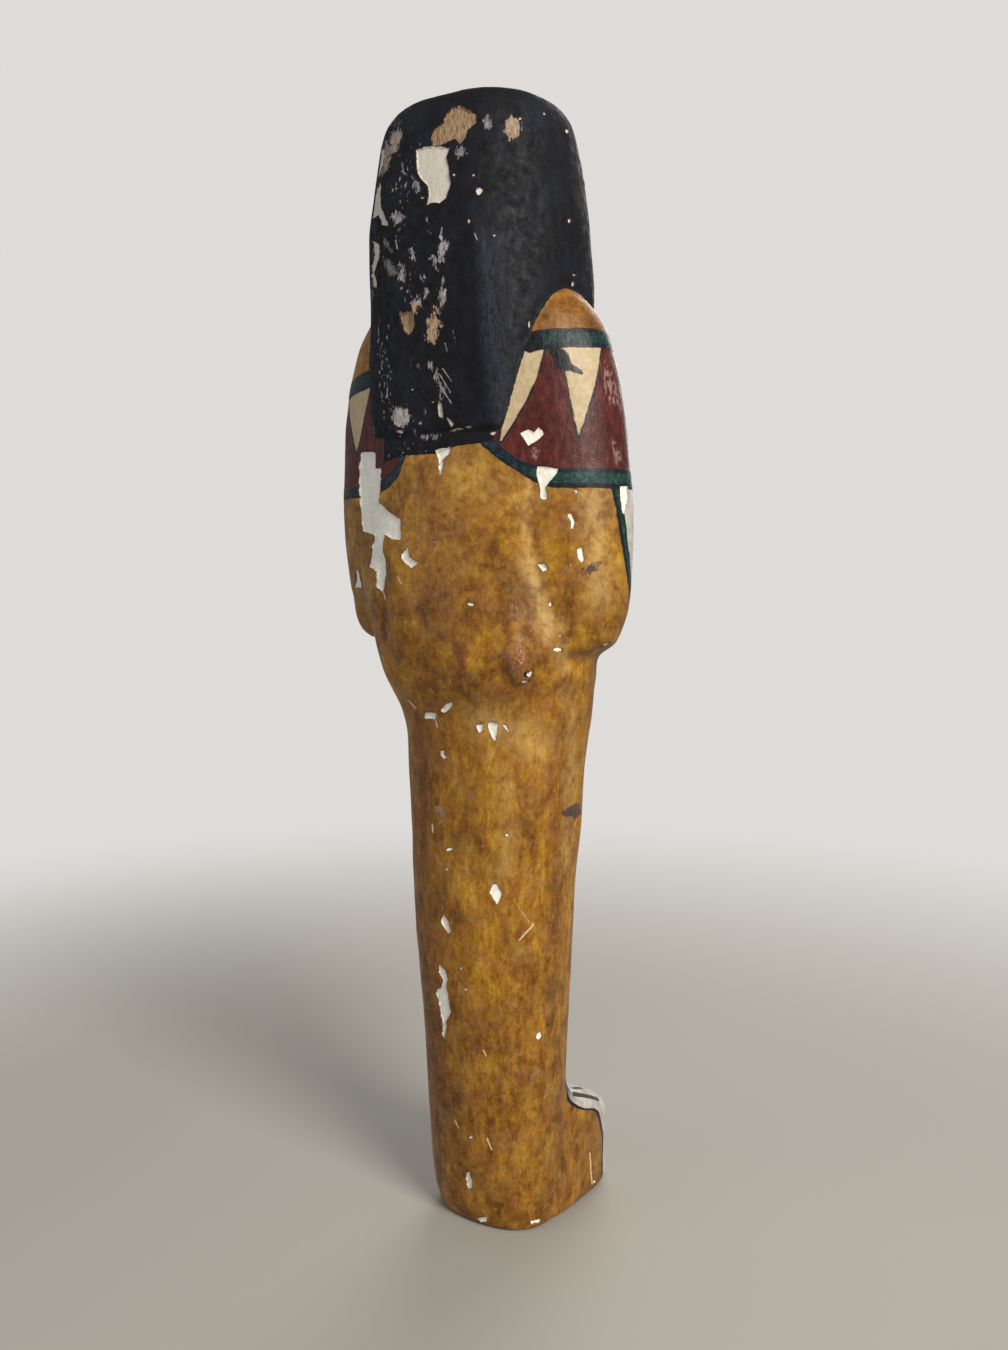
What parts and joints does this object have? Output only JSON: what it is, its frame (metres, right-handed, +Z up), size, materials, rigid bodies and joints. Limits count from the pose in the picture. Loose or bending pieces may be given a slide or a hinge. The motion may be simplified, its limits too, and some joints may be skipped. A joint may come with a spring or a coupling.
{
  "type": "ushabti figurine",
  "caption": "Upright mummiform funerary figurine carved from one block of wood, gessoed and painted, with a heavy wig, folded arms, a broad collar and a flat foot block.",
  "frame": {"origin": "middle of the figure's bounding box in plan, on the flat underside of the foot block", "axes": "+Z up along the height, -Y the way the figure faces, -X towards the figure's own right"},
  "size_m": [0.0708, 0.053, 0.236],
  "materials": {
    "painted_wood": "varnished ochre paint over white gesso on wood, with a blue-black wig and green, red and cream collar bands, chipped to the gesso"
  },
  "bodies": {
    "root": {"carved_figure": "painted_wood"}
  },
  "joints": []
}
